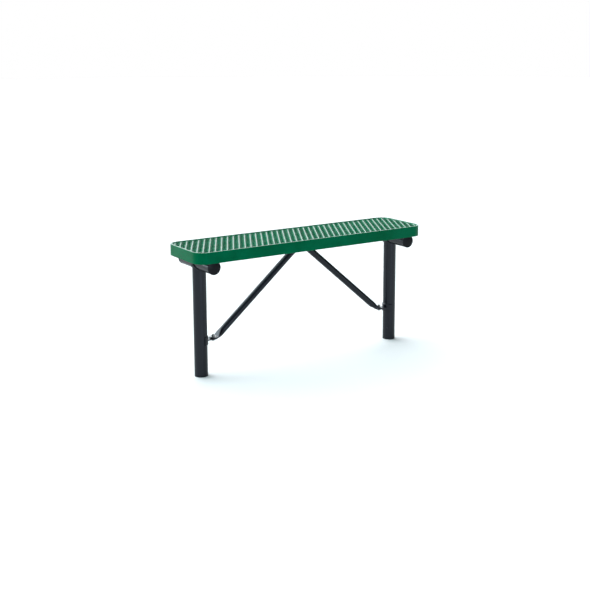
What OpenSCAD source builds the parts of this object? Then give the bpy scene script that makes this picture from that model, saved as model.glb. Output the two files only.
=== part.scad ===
// Backless in-ground bench: a plastic-coated expanded-metal seat on two tube legs,
// with two braces that run from the middle of the seat to the legs.
// X runs along the bench, Y across it, and Z = 0 is the lower end of the legs.

/* [Seat] */
// Length of the seat
seat_length = 1219.2; // [1100:0.2:1400]
// Width of the seat
seat_width = 304.8; // [280:0.2:360]
// Height of the seat's top above the lower end of the legs
seat_top = 586; // [560:1:900]
// Outer radius of the seat's corners
corner_r = 56; // [40:1:80]
// Depth of the rim
rim_h = 50.8; // [45:0.2:60]
// Thickness of the rim, with its coat
rim_t = 8; // [6:0.5:10]
// Radius on the edges of the rim
rim_edge_r = 2.5; // [1:0.5:2.5]

/* [Mesh] */
// Short diagonal of a mesh diamond, along the bench
diamond_x = 29.5; // [24:0.5:40]
// Long diagonal of a mesh diamond, across the bench
diamond_y = 52.5; // [44:0.5:60]
// Width of a coated strand, seen from above
strand_w = 5.6; // [5:0.2:9]
// Depth of the mesh
mesh_h = 6.5; // [4:0.5:8]
// Drop from the rim's top to the mesh
mesh_drop = 3.5; // [3:0.5:9]
// Width of the solid edge where the coat joins the mesh to the rim
mesh_edge_w = 4; // [3:0.5:8]

/* [Seat angles] */
// Width of an angle's level flange
angle_w = 38; // [34:1:42]
// Thickness of the angles
angle_t = 4.8; // [4:0.2:6]
// Drop from the seat's top to the underside of the two end angles
angle_drop = 42; // [40:1:46]

/* [Legs and cross tubes] */
// Outer diameter of the legs and the cross tubes
tube_d = 60.3; // [57:0.1:61]
// Wall of the legs and the cross tubes
tube_wall = 3; // [2.5:0.5:4]
// Distance from the seat's end to the middle of the leg
leg_inset = 83; // [80:1:120]
// Length of a cross tube, without its caps
cross_tube_len = 275; // [255:1:275]

/* [End caps] */
// How far the cap's lip stands out past the tube
cap_lip = 0.7; // [0.5:0.1:0.8]
// Thickness of the cap's lip
cap_lip_h = 1.8; // [1:0.1:2]
// Height of the cap's dome above its lip
cap_dome_h = 3.6; // [2:0.1:4]
// Length of the cap's plug inside the tube
cap_plug_len = 13; // [10:1:13]

/* [Braces] */
// Outer diameter of the braces
brace_d = 31; // [30:0.1:35]
// Wall of the braces
brace_wall = 2.5; // [2:0.1:3]
// Width of a brace's flattened end
tab_w = 46; // [42:1:48]
// Length of the lower flattened end past its bolt
foot_tab_reach = 17; // [15:1:20]
// Length of the upper flattened end past its bolt
top_tab_reach = 13; // [12:0.5:13]
// Length over which the round tube is pinched flat
pinch_len = 42; // [36:1:50]

/* [Brace lugs] */
// Height of the ear's top above the lower end of the legs
ear_top = 164; // [100:1:250]
// Distance from the leg's axis to the lug's bolt
ear_reach = 62.6; // [62:0.1:80]
// Thickness of the ear
ear_t = 4.8; // [4:0.2:6]
// Width of the ear
ear_w = 40; // [36:1:44]
// Height of the lug's band
band_h = 32; // [26:1:40]
// Thickness of the lug's band
band_t = 3.6; // [3:0.2:5]

/* [Fasteners] */
// Diameter of the bolts
bolt_d = 9.52; // [9:0.01:10]
// Diameter of the bolt holes
hole_d = 10.5; // [10.5:0.1:11.5]
// Width across the flats of heads and nuts
hex_w = 14.3; // [14:0.1:16]
// Height of a bolt head
head_h = 6.2; // [5:0.1:7]
// Height of a nut
nut_h = 8.3; // [7:0.1:9]
// Diameter of the washers
washer_d = 23; // [21:0.5:24]
// Thickness of the washers
washer_t = 1.6; // [1.2:0.1:2]
// Length of bolt that stands out of its nut
bolt_tail = 3; // [1:0.5:4]
// Distance from the bench's centre line to the seat bolts
seat_bolt_y = 108; // [80:1:108]

/* [Hidden] */

$fn = 96;
cut = 1;
overlap = 0.4;
fit_gap = 0.1;

coat_green = [0.02, 0.36, 0.22];
coat_black = [0.14, 0.15, 0.17];
cap_black = [0.09, 0.09, 0.10];
zinc_grey = [0.62, 0.63, 0.64];

// Seat
rim_inner_y = seat_width / 2 - rim_t;
inner_corner_r = corner_r - rim_t;
mesh_z = seat_top - mesh_drop - mesh_h;
angle_z = seat_top - angle_drop;
center_angle_z = seat_top - rim_h;
flange_clear = (angle_w - angle_t) / 2;
angle_weld_r = 5;

// Legs and cross tubes
tube_r = tube_d / 2;
bore_r = tube_r - tube_wall;
leg_x = seat_length / 2 - leg_inset;
cross_z = angle_z - tube_r;
root_gap = 0.3;
ease_len = 3;
ease_w = 0.3;
leg_weld_w = 5;
leg_weld_crown = 1.2;
leg_weld_steps = 64;

// Caps
cap_r = tube_r + cap_lip;
cap_plug_r = bore_r - fit_gap;
cap_plug_wall = 3;
cap_ball_r = (cap_r * cap_r + cap_dome_h * cap_dome_h) / (2 * cap_dome_h);

// Braces: each end is pinched flat, bent level and drilled
tab_t = 2 * brace_wall;
brace_r = brace_d / 2;
foot_x = leg_x - ear_reach;
top_bend = 20;
foot_bend = 18;
bend_run = 6.5;
pinch_steps = 10;
pinch_sides = 32;
pinch_inset = 0.1;
pinch_lap = 1.5;
tab_lap = 0.6;
flat_by = 0.8;

// Lugs
band_angle = 160;
band_z = ear_top - ear_t / 2 - band_h / 2;

// Fasteners
bolt_r = bolt_d / 2;
hole_r = hole_d / 2;
hex_r = hex_w / 2 / cos(30);
chamfer_r = hex_w / 2 + 0.5;
chamfer_slope = 0.5;
seat_nut_gap = bore_r - sqrt(bore_r * bore_r - hex_r * hex_r) + fit_gap;

// Puts a part that is drawn for the right-hand side on the side that is asked for
module on_side(side) {
    mirror([side < 0 ? 1 : 0, 0, 0]) children();
}

module rounded_rect(length, width, r) {
    square([length - 2 * r, width], center = true);
    square([length, width - 2 * r], center = true);
    for (x = [-1, 1], y = [-1, 1])
        translate([x * (length / 2 - r), y * (width / 2 - r)]) circle(r);
}

// The rim's section: x from its inner face outwards, y from its lower edge
module rim_section() {
    translate([0, rim_edge_r]) square([rim_t, rim_h - 2 * rim_edge_r]);
    translate([rim_edge_r, 0]) square([rim_t - 2 * rim_edge_r, rim_h]);
    for (x = [rim_edge_r, rim_t - rim_edge_r], y = [rim_edge_r, rim_h - rim_edge_r])
        translate([x, y]) circle(rim_edge_r);
}

module rim_straight(length) {
    translate([length / 2, 0, 0]) rotate([90, 0, -90])
        linear_extrude(length) rim_section();
}

module seat_rim() {
    run_x = seat_length - 2 * corner_r;
    run_y = seat_width - 2 * corner_r;
    color(coat_green) translate([0, 0, seat_top - rim_h]) {
        for (side = [0, 180]) {
            rotate([0, 0, side]) translate([0, -rim_inner_y, 0]) rim_straight(run_x);
            rotate([0, 0, side + 90])
                translate([0, -(seat_length / 2 - rim_t), 0]) rim_straight(run_y);
        }
        for (corner = [[1, 1, 0], [-1, 1, 90], [-1, -1, 180], [1, -1, 270]])
            translate([corner[0] * run_x / 2, corner[1] * run_y / 2, 0])
                rotate([0, 0, corner[2]]) rotate_extrude(angle = 90)
                    translate([inner_corner_r, 0]) rim_section();
    }
}

// Diamond holes between the strands, whose middle lines cross at the seat's centre
module diamond_holes() {
    spacing = 1 / norm([1 / diamond_x, 1 / diamond_y]);
    shrink = 1 - strand_w / spacing;
    half_x = diamond_x / 2 * shrink;
    half_y = diamond_y / 2 * shrink;
    columns = ceil(seat_length / diamond_x);
    rows = ceil(seat_width / diamond_y);
    for (i = [-columns : columns], j = [-rows : rows])
        if ((i + j) % 2 != 0 && hole_inside(i * diamond_x / 2, j * diamond_y / 2))
            translate([i * diamond_x / 2, j * diamond_y / 2])
                polygon([[half_x, 0], [0, half_y], [-half_x, 0], [0, -half_y]]);
}

function hole_inside(x, y) =
    abs(x) < seat_length / 2 - rim_t - mesh_edge_w / 2
    && abs(y) < rim_inner_y - mesh_edge_w / 2
    && norm([max(0, abs(x) - seat_length / 2 + corner_r),
             max(0, abs(y) - seat_width / 2 + corner_r)]) < inner_corner_r - mesh_edge_w / 2;

module seat_mesh() {
    length = seat_length - 2 * rim_t;
    width = seat_width - 2 * rim_t;
    color(coat_green) translate([0, 0, mesh_z]) linear_extrude(mesh_h)
        difference() {
            rounded_rect(length, width, inner_corner_r);
            intersection() {
                diamond_holes();
                rounded_rect(length - 2 * mesh_edge_w, width - 2 * mesh_edge_w,
                    inner_corner_r - mesh_edge_w);
            }
        }
}

// An angle across the seat: its flange takes the bolts and its upright holds up the mesh
module seat_angle(x, z, bolt_ys) {
    color(coat_green) translate([x, 0, z]) difference() {
        union() {
            translate([-flange_clear, -rim_inner_y, 0])
                cube([angle_w, 2 * rim_inner_y, angle_t]);
            translate([flange_clear, -rim_inner_y, 0])
                cube([angle_t, 2 * rim_inner_y, mesh_z - z]);
        }
        for (y = bolt_ys)
            translate([0, y, -cut]) cylinder(h = angle_t + 2 * cut, r = hole_r);
    }
}

module end_angle() {
    seat_angle(leg_x, angle_z, [-seat_bolt_y, seat_bolt_y]);
}

// A quarter-round bead along each end of an angle's flange
module angle_end_welds(x, z) {
    for (end = [0, 1]) mirror([0, end, 0]) intersection() {
        translate([x - flange_clear, rim_inner_y, z + angle_t]) rotate([0, 90, 0])
            cylinder(h = 2 * flange_clear, r = angle_weld_r);
        translate([x - flange_clear, rim_inner_y - angle_weld_r, z + angle_t])
            cube([2 * flange_clear, angle_weld_r, angle_weld_r]);
    }
}

module seat_angle_welds() {
    color(coat_green) {
        angle_end_welds(0, center_angle_z);
        for (side = [-1, 1]) on_side(side) angle_end_welds(leg_x, angle_z);
    }
}

module along_y(length, r) {
    rotate([90, 0, 0]) cylinder(h = length, r = r, center = true);
}

module cross_tube() {
    color(coat_black) translate([leg_x, 0, cross_z]) difference() {
        along_y(cross_tube_len, tube_r);
        along_y(cross_tube_len + 2 * cut, bore_r);
        for (y = [-seat_bolt_y, seat_bolt_y])
            translate([0, y, 0]) cylinder(h = tube_r + cut, r = hole_r);
    }
}

// A domed plug, drawn with its dome up and its lip on Z = 0
module end_cap() {
    cylinder(h = cap_lip_h, r = cap_r);
    translate([0, 0, cap_lip_h]) intersection() {
        translate([0, 0, cap_dome_h - cap_ball_r]) sphere(cap_ball_r, $fn = 256);
        cylinder(h = cap_dome_h + cut, r = cap_r);
    }
    translate([0, 0, -cap_plug_len]) difference() {
        cylinder(h = cap_plug_len + overlap, r = cap_plug_r);
        translate([0, 0, -cut]) cylinder(h = cap_plug_len + cut, r = cap_plug_r - cap_plug_wall);
    }
}

module cap_at(end) {
    color(cap_black) translate([leg_x, end * cross_tube_len / 2, cross_z])
        rotate([-90 * end, 0, 0]) end_cap();
}

// The leg's top is notched to the cross tube, with a small root gap for the weld, and its
// bore is eased where the notch begins
module leg() {
    color(coat_black) difference() {
        translate([leg_x, 0, 0]) cylinder(h = cross_z, r = tube_r);
        translate([leg_x, 0, -cut]) cylinder(h = cross_z + 2 * cut, r = bore_r);
        translate([leg_x, 0, cross_z - tube_r - ease_len])
            cylinder(h = tube_d, r = bore_r + ease_w);
        translate([leg_x, 0, cross_z]) along_y(2 * tube_d, tube_r + root_gap);
    }
}

// A point of the weld's section at an angle round the leg, from the leg's axis at the
// cross tube's height: 0 root, 1 toe on the leg, 2 crown, 3 toe on the cross tube
function weld_point(angle, corner) =
    let (root = tube_r * [cos(angle), sin(angle), -abs(sin(angle))],
         leg_toe = root - [0, 0, leg_weld_w],
         roll = asin(cos(angle)) + leg_weld_w / tube_r * cos(angle) * 180 / PI,
         tube_toe = [tube_r * sin(roll), root.y + leg_weld_w * sin(angle), -tube_r * cos(roll)],
         crown = (leg_toe + tube_toe) / 2 + leg_weld_crown * [cos(angle), sin(angle), -0.5])
    [root, leg_toe, crown, tube_toe][corner];

// The bead fills the corner that the leg's top makes with the cross tube
module leg_weld() {
    count = leg_weld_steps;
    points = [for (i = [0 : count - 1], corner = [0 : 3]) weld_point(360 * i / count, corner)];
    faces = [for (i = [0 : count - 1], corner = [0 : 3])
        let (a = 4 * i + corner, b = 4 * i + (corner + 1) % 4,
             c = 4 * ((i + 1) % count) + corner, d = 4 * ((i + 1) % count) + (corner + 1) % 4)
        each [[a, b, c], [b, d, c]]];
    color(coat_black) translate([leg_x, 0, cross_z]) polyhedron(points, faces);
}

// The half of the leg's surroundings that faces the middle of the bench
module inner_wedge(h) {
    half = band_angle / 2;
    reach = 2 * tube_d;
    linear_extrude(h) polygon([
        [0, 0], reach * [-cos(half), -sin(half)], [-reach, -reach],
        [-reach, reach], reach * [-cos(half), sin(half)]]);
}

module brace_lug() {
    color(coat_black) translate([leg_x, 0, 0]) difference() {
        union() {
            translate([0, 0, band_z]) intersection() {
                cylinder(h = band_h, r = tube_r + band_t);
                inner_wedge(band_h);
            }
            translate([-ear_reach, 0, ear_top - ear_t]) linear_extrude(ear_t) {
                circle(d = ear_w);
                translate([0, -ear_w / 2]) square([ear_reach - tube_r / 2, ear_w]);
            }
        }
        cylinder(h = seat_top, r = tube_r);
        translate([-ear_reach, 0, 0]) cylinder(h = seat_top, r = hole_r);
    }
}

// Two beads, along the upper and the lower edge of the lug's band
module lug_welds() {
    color(coat_black) translate([leg_x, 0, 0])
        for (z = [band_z, band_z + band_h])
            rotate([0, 0, 180 - band_angle / 2]) intersection() {
                rotate_extrude(angle = band_angle)
                    translate([tube_r, z]) intersection() {
                        circle(band_t);
                        translate([0, z > band_z ? 0 : -band_t]) square(band_t);
                    }
                cylinder(h = seat_top, r = tube_r + band_t);
            }
}

function mix(a, b, t) = a + (b - a) * t;
function smooth(t) = t >= 1 ? 1 : t * t * (3 - 2 * t);
function unit(v) = v / norm(v);
function bezier(a, b, c, t) = mix(mix(a, b, t), mix(b, c, t), t);
function keep_sign(v, power) = sign(v) * pow(abs(v), power);

// One point of the pinched tube: a circle at step 0 that becomes a flat box at the last
// step, on a path in XZ from the round tube through the bend to the level tab. A step more
// at each end laps into the round tube and into the tab
function pinch_point(path, step, angle) =
    let (t = min(max(step / pinch_steps, 0), 1),
         lap = step < 0 ? -pinch_lap : step > pinch_steps ? pinch_lap : 0,
         along = unit(mix(path[1] - path[0], path[2] - path[1], t)),
         centre = bezier(path[0], path[1], path[2], t) + lap * along,
         squash = smooth(t / flat_by),
         power = 2 / mix(2, 8, squash),
         across = mix(brace_r, tab_w / 2, squash) - pinch_inset,
         up = (mix(brace_r, tab_t / 2, squash) - pinch_inset) * keep_sign(sin(angle), power))
    [centre.x - up * along.y, across * keep_sign(cos(angle), power), centre.y + up * along.x];

module pinch(path) {
    sides = pinch_sides;
    points = [for (step = [-1 : pinch_steps + 1], i = [0 : sides - 1])
        pinch_point(path, step, 360 * i / sides)];
    rings = pinch_steps + 3;
    walls = [for (k = [0 : rings - 2], i = [0 : sides - 1])
        let (a = k * sides + i, b = k * sides + (i + 1) % sides)
        each [[a, a + sides, b], [b, a + sides, b + sides]]];
    first = [for (i = [0 : sides - 1]) i];
    last = [for (i = [sides - 1 : -1 : 0]) (rings - 1) * sides + i];
    polyhedron(points, concat(walls, [first, last]));
}

// A flattened end with its bolt on the origin and its tube towards +X
module tab(reach, bend) {
    linear_extrude(tab_t) {
        translate([tab_w / 2 - reach, 0]) circle(d = tab_w);
        translate([tab_w / 2 - reach, -tab_w / 2]) square([bend - tab_w / 2 + reach, tab_w]);
    }
}

// layer is 0 for the tab that touches the angle and 1 for the tab under it
module brace(layer) {
    top = [top_bend, center_angle_z - (layer + 0.5) * tab_t];
    foot = [foot_x - foot_bend, ear_top + tab_t / 2];
    fall = unit(foot - top);
    round_top = top + pinch_len * fall;
    round_foot = foot - pinch_len * fall;
    length = norm(round_foot - round_top);
    turn = [0, 90 + atan2(-fall.y, fall.x), 0];
    color(coat_black) difference() {
        union() {
            translate([round_top.x, 0, round_top.y]) rotate(turn) cylinder(h = length, r = brace_r);
            pinch([round_top, top, top - [bend_run, 0]]);
            pinch([round_foot, foot, foot + [bend_run, 0]]);
            translate([0, 0, top.y - tab_t / 2]) tab(top_tab_reach, top_bend - bend_run - tab_lap);
            translate([foot_x, 0, ear_top]) mirror([1, 0, 0])
                tab(foot_tab_reach, foot_bend - bend_run - tab_lap);
        }
        translate([round_top.x, 0, round_top.y]) rotate(turn) translate([0, 0, brace_wall])
            cylinder(h = length - 2 * brace_wall, r = brace_r - brace_wall);
        translate([0, 0, top.y - tab_t]) cylinder(h = 2 * tab_t, r = hole_r);
        translate([foot_x, 0, ear_top - cut]) cylinder(h = tab_t + 2 * cut, r = hole_r);
    }
}

// A hexagon with its upper corners turned off
module hex_block(h) {
    intersection() {
        cylinder(h = h, r = hex_r, $fn = 6);
        cylinder(h = h, r1 = chamfer_r + h / chamfer_slope, r2 = chamfer_r);
    }
}

// A bolt that points down, with the underside of its head on Z = 0
module bolt(grip) {
    hex_block(head_h);
    translate([0, 0, -grip]) cylinder(h = grip + overlap, r = bolt_r);
}

// A nut that hangs below Z = 0
module nut() {
    rotate([180, 0, 0]) difference() {
        hex_block(nut_h);
        translate([0, 0, -cut]) cylinder(h = nut_h + 2 * cut, r = bolt_r);
    }
}

// A washer that lies on Z = 0
module washer() {
    difference() {
        cylinder(h = washer_t, r = washer_d / 2);
        translate([0, 0, -cut]) cylinder(h = washer_t + 2 * cut, r = hole_r);
    }
}

// The foot bolts point up: head under the ear, nut above the brace
module at_foot_bolts() {
    for (side = [-1, 1]) translate([side * foot_x, 0, 0]) children();
}

module foot_bolts() {
    grip = ear_t + tab_t + 2 * washer_t + nut_h + bolt_tail;
    color(zinc_grey) at_foot_bolts()
        translate([0, 0, ear_top - ear_t - washer_t]) rotate([180, 0, 0]) bolt(grip);
}

module foot_washers() {
    color(zinc_grey) at_foot_bolts() {
        translate([0, 0, ear_top - ear_t - washer_t]) washer();
        translate([0, 0, ear_top + tab_t]) washer();
    }
}

module foot_nuts() {
    color(zinc_grey) at_foot_bolts()
        translate([0, 0, ear_top + tab_t + washer_t]) rotate([180, 0, 0]) nut();
}

// The top bolt points up: head under both brace tabs, nut above the angle's flange
module top_bolt() {
    grip = angle_t + 2 * tab_t + 2 * washer_t + nut_h + bolt_tail;
    color(zinc_grey) translate([0, 0, center_angle_z - 2 * tab_t - washer_t])
        rotate([180, 0, 0]) bolt(grip);
}

module top_washers() {
    color(zinc_grey) {
        translate([0, 0, center_angle_z - 2 * tab_t - washer_t]) washer();
        translate([0, 0, center_angle_z + angle_t]) washer();
    }
}

module top_nut() {
    color(zinc_grey) translate([0, 0, center_angle_z + angle_t + washer_t])
        rotate([180, 0, 0]) nut();
}

// The seat bolts point down: head above the angle's flange, nut inside the cross tube
module at_seat_bolts() {
    for (side = [-1, 1], y = [-seat_bolt_y, seat_bolt_y])
        translate([side * leg_x, y, 0]) children();
}

module seat_bolts() {
    grip = washer_t + angle_t + tube_wall + seat_nut_gap + nut_h + bolt_tail;
    color(zinc_grey) at_seat_bolts()
        translate([0, 0, angle_z + angle_t + washer_t]) bolt(grip);
}

module seat_bolt_washers() {
    color(zinc_grey) at_seat_bolts() translate([0, 0, angle_z + angle_t]) washer();
}

module seat_bolt_nuts() {
    color(zinc_grey) at_seat_bolts() translate([0, 0, cross_z + bore_r - seat_nut_gap]) nut();
}

seat_rim();
seat_mesh();
on_side(-1) end_angle();  // seat_angle_left
seat_angle(0, center_angle_z, [0]);  // seat_angle_center
on_side(1) end_angle();  // seat_angle_right
seat_angle_welds();
on_side(-1) cross_tube();  // cross_tube_left
on_side(1) cross_tube();  // cross_tube_right
on_side(-1) cap_at(-1);  // cap_left_front
on_side(-1) cap_at(1);  // cap_left_back
on_side(1) cap_at(-1);  // cap_right_front
on_side(1) cap_at(1);  // cap_right_back
on_side(-1) leg();  // leg_left
on_side(1) leg();  // leg_right
on_side(-1) leg_weld();  // leg_weld_left
on_side(1) leg_weld();  // leg_weld_right
on_side(-1) brace_lug();  // brace_lug_left
on_side(1) brace_lug();  // brace_lug_right
on_side(-1) lug_welds();  // lug_welds_left
on_side(1) lug_welds();  // lug_welds_right
on_side(-1) brace(1);  // brace_left
on_side(1) brace(0);  // brace_right
foot_bolts();
foot_washers();
foot_nuts();
top_bolt();
top_washers();
top_nut();
seat_bolts();
seat_bolt_washers();
seat_bolt_nuts();
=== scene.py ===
"""A backless bench: a green plastic-coated seat of expanded metal on black tube legs."""

import math

import bmesh
import bpy
from mathutils import Matrix, Vector


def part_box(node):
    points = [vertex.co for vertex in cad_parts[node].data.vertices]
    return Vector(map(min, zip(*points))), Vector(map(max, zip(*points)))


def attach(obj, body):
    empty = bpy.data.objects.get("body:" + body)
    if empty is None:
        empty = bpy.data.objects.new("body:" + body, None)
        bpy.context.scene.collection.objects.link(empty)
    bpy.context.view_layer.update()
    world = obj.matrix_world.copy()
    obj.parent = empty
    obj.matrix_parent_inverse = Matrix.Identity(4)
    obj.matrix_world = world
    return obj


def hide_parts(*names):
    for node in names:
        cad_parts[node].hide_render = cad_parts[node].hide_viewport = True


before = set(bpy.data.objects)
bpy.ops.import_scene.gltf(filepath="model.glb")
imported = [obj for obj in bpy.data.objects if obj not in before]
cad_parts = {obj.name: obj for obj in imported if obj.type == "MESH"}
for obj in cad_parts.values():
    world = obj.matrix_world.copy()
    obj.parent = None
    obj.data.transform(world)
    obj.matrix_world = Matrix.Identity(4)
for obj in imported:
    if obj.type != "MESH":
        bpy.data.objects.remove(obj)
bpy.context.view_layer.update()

MM = 0.001
MICRON = 1e-6

# ---------------------------------------------------------------- sizes, in metres

rim_low, rim_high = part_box("seat_rim")
mesh_low, mesh_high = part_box("seat_mesh")

CORNER_R = 56 * MM
RIM_T = 8 * MM
RIM_ROUND = 16  # faces round each edge of the rim
RIM_SOFT = 0.4  # 1 is a half circle, less is flatter on top
RIM_HOLD = 1 * MM  # a ring this far from each round keeps the rim's sides flat

DIAMOND_X = 29.5 * MM  # short way of a diamond, along the bench
DIAMOND_Y = 52.5 * MM  # long way of a diamond, across the bench
KNUCKLE_X = 1.1 * MM  # half the width of the bond where strands meet
KNUCKLE_Y = 2.7 * MM  # half its length
STRAND_T = 7.2 * MM  # depth of a coated strand, before its edges are rounded
STRAND_RISE = 0.1 * MM  # each bond leans a little, so one edge stands this much higher
MESH_LIFT = 1.2 * MM  # the strands' middle stands this far above the flat sheet's
MESH_Z = (mesh_low.z + mesh_high.z) / 2 + MESH_LIFT

EDGE_FACES = 10  # faces round the fillet where the strands run into the rim
EDGE_REACH = 3.25 * MM  # half the fillet's width
EDGE_OFFSET = 1.0 * MM  # how far its middle lies inside the rim's inner face
EDGE_H = 6.4 * MM  # the fillet's height

WELD_R = 3.6 * MM  # radius of the bead round a leg's top
LUG_WELD_R = 3.0 * MM  # radius of the beads along a lug's band
LUG_WELD_TURN = math.radians(158)  # how far round the leg they run
WELD_SUNK = 1 / 4  # the bead's middle stands this share of its radius off the tube
WELD_FACES = 10  # faces round a bead
WELD_STEP = 1.2 * MM  # distance between rings along a bead
WELD_POOL = 4.2 * MM  # length of one pool of a bead
WELD_RIPPLE = 0.16  # how much a pool swells in its middle
WELD_SADDLE = 0.1  # rounds the bead's turn at the sides of the leg


# ---------------------------------------------------------------- materials


def srgb(code):
    """A colour written as an sRGB hex code, as Blender's linear RGBA."""
    channels = [int(code[i : i + 2], 16) / 255 for i in (1, 3, 5)]
    linear = [c / 12.92 if c <= 0.04045 else ((c + 0.055) / 1.055) ** 2.4 for c in channels]
    return (*linear, 1.0)


def add(tree, kind, settings=None, links=None, **attributes):
    """Adds a node, sets its attributes and sockets, and links sockets of others to its own."""
    node = tree.nodes.new(kind)
    for name, value in attributes.items():
        setattr(node, name, value)
    for socket, value in (settings or {}).items():
        node.inputs[socket].default_value = value
    for socket, source in (links or {}).items():
        tree.links.new(source, node.inputs[socket])
    return node


def new_material(name):
    """An empty node material, its Principled shader and its Object coordinates."""
    material = bpy.data.materials.new(name)
    material.use_nodes = True
    tree = material.node_tree
    tree.nodes.clear()
    shader = add(tree, "ShaderNodeBsdfPrincipled")
    add(tree, "ShaderNodeOutputMaterial", links={"Surface": shader.outputs["BSDF"]})
    place = add(tree, "ShaderNodeTexCoord").outputs["Object"]
    return material, tree, shader, place


def green_thermoplastic_coat():
    """Polyethylene melted on to hot steel in a fluidised bed: thick, rounded and glossy, with
    slow waves where it flowed and a fine orange peel where it froze."""
    material, tree, shader, place = new_material("green_thermoplastic_coat")
    tone = add(tree, "ShaderNodeTexNoise", {"Scale": 1 / (90 * MM), "Detail": 3.0},
               {"Vector": place})
    colour = add(tree, "ShaderNodeValToRGB", links={"Fac": tone.outputs["Fac"]})
    colour.color_ramp.elements[0].position = 0.35
    colour.color_ramp.elements[0].color = srgb("#005E37")
    colour.color_ramp.elements[1].position = 0.68
    colour.color_ramp.elements[1].color = srgb("#006A43")
    haze = add(tree, "ShaderNodeTexNoise", {"Scale": 1 / (25 * MM), "Detail": 4.0},
               {"Vector": place})
    gloss = add(tree, "ShaderNodeMapRange", {"To Min": 0.16, "To Max": 0.26},
                {"Value": haze.outputs["Fac"]})
    flow = add(tree, "ShaderNodeTexNoise", {"Scale": 1 / (14 * MM), "Detail": 1.0},
               {"Vector": place})
    peel = add(tree, "ShaderNodeTexNoise", {"Scale": 1 / (2.2 * MM), "Detail": 1.0},
               {"Vector": place})
    waves = add(tree, "ShaderNodeBump", {"Strength": 0.35, "Distance": 0.6 * MM},
                {"Height": flow.outputs["Fac"]})
    skin = add(tree, "ShaderNodeBump", {"Strength": 0.25, "Distance": 0.1 * MM},
               {"Height": peel.outputs["Fac"], "Normal": waves.outputs["Normal"]})
    tree.links.new(colour.outputs["Color"], shader.inputs["Base Color"])
    tree.links.new(gloss.outputs["Result"], shader.inputs["Roughness"])
    tree.links.new(skin.outputs["Normal"], shader.inputs["Normal"])
    shader.inputs["IOR"].default_value = 1.28
    shader.inputs["Specular Tint"].default_value = srgb("#20FFD8")
    return material


def black_powder_coat():
    """Polyester powder baked on to steel tube: an even satin black with a fine pebble skin."""
    material, tree, shader, place = new_material("black_powder_coat")
    tone = add(tree, "ShaderNodeTexNoise", {"Scale": 1 / (60 * MM), "Detail": 4.0},
               {"Vector": place})
    colour = add(tree, "ShaderNodeValToRGB", links={"Fac": tone.outputs["Fac"]})
    colour.color_ramp.elements[0].position = 0.35
    colour.color_ramp.elements[0].color = srgb("#0A0C11")
    colour.color_ramp.elements[1].position = 0.7
    colour.color_ramp.elements[1].color = srgb("#0E1118")
    gloss = add(tree, "ShaderNodeMapRange", {"To Min": 0.2, "To Max": 0.3},
                {"Value": tone.outputs["Fac"]})
    pebble = add(tree, "ShaderNodeTexNoise", {"Scale": 1 / (1.6 * MM), "Detail": 2.0},
                 {"Vector": place})
    skin = add(tree, "ShaderNodeBump", {"Strength": 0.3, "Distance": 0.08 * MM},
               {"Height": pebble.outputs["Fac"]})
    tree.links.new(colour.outputs["Color"], shader.inputs["Base Color"])
    tree.links.new(gloss.outputs["Result"], shader.inputs["Roughness"])
    tree.links.new(skin.outputs["Normal"], shader.inputs["Normal"])
    shader.inputs["IOR"].default_value = 1.5
    shader.inputs["Specular Tint"].default_value = srgb("#F0F3FF")
    return material


def moulded_black_plastic():
    """Polyethylene tube plugs from an injection mould: black, and duller than the powder coat."""
    material, tree, shader, place = new_material("moulded_black_plastic")
    blotch = add(tree, "ShaderNodeTexNoise", {"Scale": 1 / (12 * MM), "Detail": 3.0},
                 {"Vector": place})
    colour = add(tree, "ShaderNodeValToRGB", links={"Fac": blotch.outputs["Fac"]})
    colour.color_ramp.elements[0].color = srgb("#05070B")
    colour.color_ramp.elements[1].color = srgb("#080A10")
    grain = add(tree, "ShaderNodeTexNoise", {"Scale": 1 / (0.9 * MM), "Detail": 2.0},
                {"Vector": place})
    skin = add(tree, "ShaderNodeBump", {"Strength": 0.2, "Distance": 0.05 * MM},
               {"Height": grain.outputs["Fac"]})
    tree.links.new(colour.outputs["Color"], shader.inputs["Base Color"])
    tree.links.new(skin.outputs["Normal"], shader.inputs["Normal"])
    shader.inputs["Roughness"].default_value = 0.42
    shader.inputs["IOR"].default_value = 1.3
    return material


def zinc_plated_steel():
    """Bright zinc on forged steel fasteners: light grey with a faint warm and cool bloom."""
    material, tree, shader, place = new_material("zinc_plated_steel")
    bloom = add(tree, "ShaderNodeTexNoise", {"Scale": 1 / (5 * MM), "Detail": 3.0},
                {"Vector": place})
    colour = add(tree, "ShaderNodeValToRGB", links={"Fac": bloom.outputs["Fac"]})
    colour.color_ramp.elements[0].position = 0.3
    colour.color_ramp.elements[0].color = srgb("#A9A498")
    colour.color_ramp.elements[1].position = 0.7
    colour.color_ramp.elements[1].color = srgb("#B9BEC2")
    gloss = add(tree, "ShaderNodeMapRange", {"To Min": 0.26, "To Max": 0.44},
                {"Value": bloom.outputs["Fac"]})
    tree.links.new(colour.outputs["Color"], shader.inputs["Base Color"])
    tree.links.new(gloss.outputs["Result"], shader.inputs["Roughness"])
    shader.inputs["Metallic"].default_value = 1.0
    return material


GREEN = green_thermoplastic_coat()
BLACK = black_powder_coat()
PLASTIC = moulded_black_plastic()
ZINC = zinc_plated_steel()


def node_material(name):
    """The finish of a CAD node, from what the piece is."""
    if name.startswith("seat_bolt") or name.startswith(("foot_", "top_")):
        return ZINC
    if name.startswith("seat_"):
        return GREEN
    if name.startswith("cap_"):
        return PLASTIC
    return BLACK


for name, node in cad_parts.items():
    for slot in node.material_slots:
        slot.material = node_material(name)


# ---------------------------------------------------------------- pieces


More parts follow.
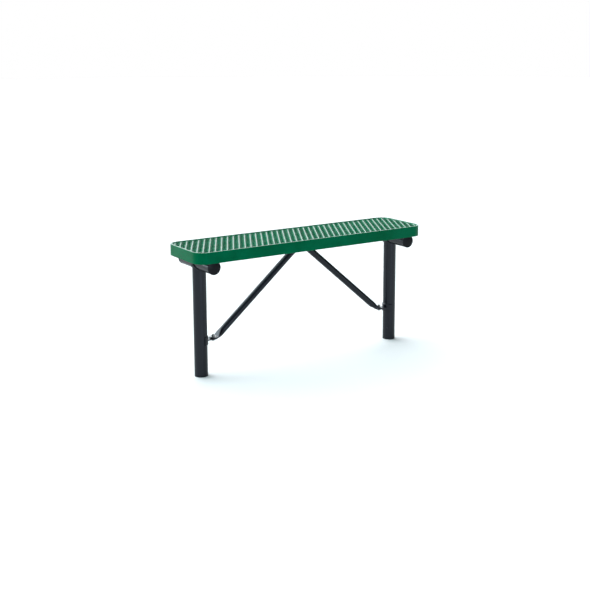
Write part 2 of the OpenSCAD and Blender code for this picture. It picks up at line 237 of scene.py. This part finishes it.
def finished(bm, name, material, replaced=(), subdivide=0, thickness=0.0):
    """Makes an object of a bmesh, with its modifiers applied, and puts it in the frame."""
    data = bpy.data.meshes.new(name)
    bm.to_mesh(data)
    bm.free()
    piece = bpy.data.objects.new(name, data)
    bpy.context.scene.collection.objects.link(piece)
    if thickness:
        solid = piece.modifiers.new("Coated metal", "SOLIDIFY")
        solid.thickness = thickness
        solid.offset = 0.0
    if subdivide:
        rounding = piece.modifiers.new("Rounding", "SUBSURF")
        rounding.levels = subdivide
        rounding.render_levels = subdivide
    if piece.modifiers:
        depsgraph = bpy.context.evaluated_depsgraph_get()
        applied = bpy.data.meshes.new_from_object(piece.evaluated_get(depsgraph))
        piece.modifiers.clear()
        piece.data = applied
        bpy.data.meshes.remove(data)
    for polygon in piece.data.polygons:
        polygon.use_smooth = True
    piece.data.name = name
    piece.data.materials.clear()
    piece.data.materials.append(material)
    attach(piece, "root")
    if replaced:
        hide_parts(*replaced)
    return piece


def seat_corners():
    """Centres of the seat's four corner arcs, with each arc's first angle."""
    x = rim_high.x - CORNER_R
    y = rim_high.y - CORNER_R
    return [((x, -y), -90), ((x, y), 0), ((-x, y), 90), ((-x, -y), 180)]


def trim_to_seat(bm, inset, steps=6):
    """Cuts a flat mesh to the seat's outline, moved in by inset from the rim's outer face."""
    planes = [((rim_high.x - inset, 0), (1, 0)), ((-rim_high.x + inset, 0), (-1, 0)),
              ((0, rim_high.y - inset), (0, 1)), ((0, -rim_high.y + inset), (0, -1))]
    for centre, first in seat_corners():
        for step in range(1, steps):
            angle = math.radians(first + 90 * step / steps)
            out = (math.cos(angle), math.sin(angle))
            reach = CORNER_R - inset
            planes.append(((centre[0] + reach * out[0], centre[1] + reach * out[1]), out))
    for point, out in planes:
        bmesh.ops.bisect_plane(
            bm, geom=bm.verts[:] + bm.edges[:] + bm.faces[:], dist=MICRON,
            plane_co=(*point, 0), plane_no=(*out, 0), clear_outer=True)


def expanded_metal():
    """Expanded metal: bonds in staggered rows, joined by upright strands. One repeat of the
    pattern is drawn, then copied along and across the seat."""
    bm = bmesh.new()
    a, b = DIAMOND_X, DIAMOND_Y

    def bond(x, y):
        corners = [(KNUCKLE_X, 0, -STRAND_RISE), (0, KNUCKLE_Y, 0),
                   (-KNUCKLE_X, 0, STRAND_RISE), (0, -KNUCKLE_Y, 0)]
        return [bm.verts.new((x + dx, y + dy, MESH_Z + dz)) for dx, dy, dz in corners]

    # corners of a bond: 0 right, 1 far, 2 left, 3 near
    first = bond(0, 0)
    middle = bond(a / 2, b / 2)
    right = bond(a, 0)
    far = bond(0, b)
    last = bond(a, b)
    for corners in (
        first, middle,
        [first[0], middle[3], middle[2], first[1]],
        [middle[0], last[3], last[2], middle[1]],
        [far[3], middle[2], middle[1], far[0]],
        [middle[3], right[2], right[1], middle[0]],
    ):
        bm.faces.new(corners)
    cell = bm.verts[:] + bm.edges[:] + bm.faces[:]
    columns = math.ceil((rim_high.x - rim_low.x) / a / 2) + 1
    rows = math.ceil((rim_high.y - rim_low.y) / b / 2) + 1
    for i in range(-columns, columns):
        for j in range(-rows, rows):
            copy = bmesh.ops.duplicate(bm, geom=cell)["geom"]
            points = [v for v in copy if isinstance(v, bmesh.types.BMVert)]
            bmesh.ops.translate(bm, verts=points, vec=(i * a, j * b, 0))
    bmesh.ops.delete(bm, geom=[g for g in cell if isinstance(g, bmesh.types.BMVert)],
                     context="VERTS")
    bmesh.ops.remove_doubles(bm, verts=bm.verts[:], dist=10 * MICRON)
    bmesh.ops.delete(bm, geom=[v for v in bm.verts if not v.link_faces], context="VERTS")
    trim_to_seat(bm, RIM_T / 2)
    return finished(bm, "expanded_metal_seat", GREEN,
                    replaced=("seat_mesh",), subdivide=2, thickness=STRAND_T)


def sweep_round_seat(bm, section, corner_steps):
    """Sweeps a section, drawn as (outwards from the corner centres, height) pairs, round the
    seat's outline, and closes it on itself."""
    (x, y), _ = seat_corners()[3]
    edges = []
    points = [bm.verts.new((x, y - out, height)) for out, height in section]
    for i, point in enumerate(points):
        edges.append(bm.edges.new((point, points[(i + 1) % len(points)])))
    corners = seat_corners()
    for k, (centre, first) in enumerate(corners):
        start = Vector((*corners[k - 1][0], 0))
        made = bmesh.ops.extrude_edge_only(bm, edges=edges)["geom"]
        moved = [v for v in made if isinstance(v, bmesh.types.BMVert)]
        bmesh.ops.translate(bm, verts=moved, vec=Vector((*centre, 0)) - start)
        edges = [e for e in made if isinstance(e, bmesh.types.BMEdge)
                 and all(v in moved for v in e.verts)]
        turned = bmesh.ops.spin(bm, geom=edges, cent=(*centre, 0), axis=(0, 0, 1),
                                angle=math.pi / 2, steps=corner_steps)["geom_last"]
        edges = [e for e in turned if isinstance(e, bmesh.types.BMEdge)]
    bmesh.ops.remove_doubles(bm, verts=bm.verts[:], dist=10 * MICRON)
    bmesh.ops.recalc_face_normals(bm, faces=bm.faces[:])


def coated_rim():
    """The rim's flat bar under its coat, which draws into full rounds on both edges."""
    bm = bmesh.new()
    middle = CORNER_R - RIM_T / 2
    top, bottom = rim_high.z - RIM_T / 2, rim_low.z + RIM_T / 2
    section = []

    def softened(value):
        return math.copysign(abs(value) ** RIM_SOFT, value) * RIM_T / 2

    for i in range(RIM_ROUND + 1):
        angle = math.pi * i / RIM_ROUND
        section.append((middle + softened(math.cos(angle)), top + softened(math.sin(angle))))
    section += [(middle - RIM_T / 2, top - RIM_HOLD), (middle - RIM_T / 2, bottom + RIM_HOLD)]
    for i in range(RIM_ROUND + 1):
        angle = math.pi * (1 + i / RIM_ROUND)
        section.append((middle + softened(math.cos(angle)), bottom + softened(math.sin(angle))))
    section += [(middle + RIM_T / 2, bottom + RIM_HOLD), (middle + RIM_T / 2, top - RIM_HOLD)]
    sweep_round_seat(bm, section, corner_steps=24)
    return finished(bm, "coated_rim", GREEN, replaced=("seat_rim",))


def mesh_edge_fillet():
    """The coat pools where the strands run into the rim, in a soft bead all the way round."""
    bm = bmesh.new()
    inner = CORNER_R - RIM_T
    section = []
    for i in range(EDGE_FACES):
        angle = 2 * math.pi * i / EDGE_FACES
        section.append((inner - EDGE_OFFSET + EDGE_REACH * math.cos(angle),
                        MESH_Z + EDGE_H / 2 * math.sin(angle)))
    sweep_round_seat(bm, section, corner_steps=16)
    return finished(bm, "mesh_edge_fillet", GREEN)


def weld_bead(name, replaced, middle, radius, reach, drop, first=0.0, turn=2 * math.pi):
    """A fillet laid round an upright tube in overlapping pools. The drop says how far the
    line of the weld lies below the middle at each angle."""
    bm = bmesh.new()
    upright = Matrix.Translation((radius, 0, 0)) @ Matrix.Rotation(math.pi / 2, 4, "X")
    ring = bmesh.ops.create_circle(bm, segments=WELD_FACES, radius=reach,
                                   matrix=upright)["verts"]
    bmesh.ops.rotate(bm, verts=ring, cent=(0, 0, 0), matrix=Matrix.Rotation(first, 3, "Z"))
    steps = math.ceil(radius * turn / WELD_STEP)
    bmesh.ops.spin(bm, geom=bm.edges[:] + bm.verts[:], cent=(0, 0, 0), axis=(0, 0, 1),
                   angle=turn, steps=steps, use_merge=turn >= 2 * math.pi)
    pools = round(radius * turn / WELD_POOL)
    for point in bm.verts:
        angle = math.atan2(point.co.y, point.co.x)
        root = Vector((radius * math.cos(angle), radius * math.sin(angle), 0))
        swell = 1 + WELD_RIPPLE * abs(math.sin(pools * math.pi * (angle - first) / turn))
        point.co = middle + root + swell * (point.co - root) - Vector((0, 0, drop(angle)))
    if turn < 2 * math.pi:
        bmesh.ops.holes_fill(bm, edges=[e for e in bm.edges if e.is_boundary], sides=0)
    bmesh.ops.recalc_face_normals(bm, faces=bm.faces[:])
    return finished(bm, name, BLACK, replaced=replaced)


def leg_top_weld(side):
    """The bead that follows the saddle where the leg's top meets the cross tube."""
    low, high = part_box(f"leg_{side}")
    tube_low, tube_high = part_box(f"cross_tube_{side}")
    radius = (high.x - low.x) / 2
    middle = Vector(((low.x + high.x) / 2, 0, (tube_low.z + tube_high.z) / 2))

    def saddle(angle):
        return radius * math.hypot(math.sin(angle), WELD_SADDLE)

    weld_bead(f"saddle_bead_{side}", (f"leg_weld_{side}",), middle,
              radius + WELD_SUNK * WELD_R, WELD_R, saddle)


def lug_band_weld(side, edge):
    """The bead along the upper (1) or lower (-1) edge of a brace lug's band."""
    low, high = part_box(f"leg_{side}")
    weld_low, weld_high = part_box(f"lug_welds_{side}")
    middle = Vector(((low.x + high.x) / 2, 0, (weld_low.z + weld_high.z) / 2))
    middle.z += edge * ((weld_high.z - weld_low.z) / 2 - LUG_WELD_R)
    inwards = math.pi if side == "right" else 0.0
    weld_bead(f"lug_bead_{side}_{'upper' if edge > 0 else 'lower'}", (f"lug_welds_{side}",),
              middle, (high.x - low.x) / 2 + WELD_SUNK * LUG_WELD_R, LUG_WELD_R,
              lambda angle: 0.0, inwards - LUG_WELD_TURN / 2, LUG_WELD_TURN)


coated_rim()
expanded_metal()
mesh_edge_fillet()
for side in ("left", "right"):
    leg_top_weld(side)
    lug_band_weld(side, 1)
    lug_band_weld(side, -1)

# ---------------------------------------------------------------- stage, camera and lights

FLOOR_R = 40.0


def studio_floor():
    """A wide pale floor, dimmer in reflections than it looks. It is clear from below, so the
    underside can be looked at."""
    material = bpy.data.materials.new("pale_studio_floor")
    material.use_nodes = True
    tree = material.node_tree
    tree.nodes.clear()
    pale = add(tree, "ShaderNodeBsdfDiffuse", {"Color": srgb("#F2F2F2")})
    dim = add(tree, "ShaderNodeBsdfDiffuse", {"Color": srgb("#BEBEBE")})
    ray = add(tree, "ShaderNodeLightPath")
    paint = add(tree, "ShaderNodeMixShader", links={
        0: ray.outputs["Is Camera Ray"], 1: dim.outputs["BSDF"], 2: pale.outputs["BSDF"]})
    clear = add(tree, "ShaderNodeBsdfTransparent")
    side = add(tree, "ShaderNodeNewGeometry")
    shown = add(tree, "ShaderNodeMixShader", links={
        0: side.outputs["Backfacing"], 1: paint.outputs["Shader"], 2: clear.outputs["BSDF"]})
    add(tree, "ShaderNodeOutputMaterial", links={"Surface": shown.outputs["Shader"]})
    bm = bmesh.new()
    bmesh.ops.create_circle(bm, cap_ends=True, segments=64, radius=FLOOR_R)
    data = bpy.data.meshes.new("studio_floor")
    bm.to_mesh(data)
    bm.free()
    data.materials.append(material)
    floor = bpy.data.objects.new("studio_floor", data)
    bpy.context.scene.collection.objects.link(floor)


def sun(name, direction, watts, spread, colour="#FFFFFF"):
    """A soft distant light that shines along a direction."""
    data = bpy.data.lights.new(name, "SUN")
    data.energy = watts
    data.angle = math.radians(spread)
    data.color = srgb(colour)[:3]
    light = bpy.data.objects.new(name, data)
    bpy.context.scene.collection.objects.link(light)
    light.rotation_euler = Vector(direction).to_track_quat("-Z", "Y").to_euler()


studio_floor()
sun("overhead_light", (0.1, -0.5, -1.0), 2.4, 70)
sun("left_light", (1.0, -0.1, -0.35), 1.9, 120, "#CCF6FF")
sun("front_light", (0.05, 1.0, -0.03), 1.2, 12, "#DCE8FF")

# The room is bright behind the bench and dim on the side of the camera. The camera itself sees
# plain white, as a lit backdrop would be.
world = bpy.data.worlds.new("white_studio")
bpy.context.scene.world = world
world.use_nodes = True
tree = world.node_tree
tree.nodes.clear()
facing = add(tree, "ShaderNodeSeparateXYZ", links={
    "Vector": add(tree, "ShaderNodeTexCoord").outputs["Generated"]})
level = add(tree, "ShaderNodeMapRange",
            {"From Min": 0.1, "From Max": 0.9, "To Min": 0.02, "To Max": 3.0},
            {"Value": facing.outputs["Y"]}, interpolation_type="SMOOTHSTEP")
room = add(tree, "ShaderNodeBackground", {"Color": srgb("#F0FAFF")},
           {"Strength": level.outputs["Result"]})
backdrop = add(tree, "ShaderNodeBackground", {"Color": (1, 1, 1, 1), "Strength": 1.0})
ray = add(tree, "ShaderNodeLightPath")
seen = add(tree, "ShaderNodeMixShader", links={
    0: ray.outputs["Is Camera Ray"], 1: room.outputs["Background"],
    2: backdrop.outputs["Background"]})
add(tree, "ShaderNodeOutputWorld", links={"Surface": seen.outputs["Shader"]})

bpy.context.scene.view_settings.view_transform = "Standard"

camera_data = bpy.data.cameras.new("camera")
camera_data.lens = 61.62
camera_data.sensor_width = 36.0
camera_data.shift_y = -0.1166
camera = bpy.data.objects.new("camera", camera_data)
bpy.context.scene.collection.objects.link(camera)
camera.location = (-2.5128, -3.8344, 1.4463)
camera.rotation_euler = (math.pi / 2 - 0.1783, 0.0039, -0.5757)
camera_data.clip_end = 60.0
bpy.context.scene.camera = camera
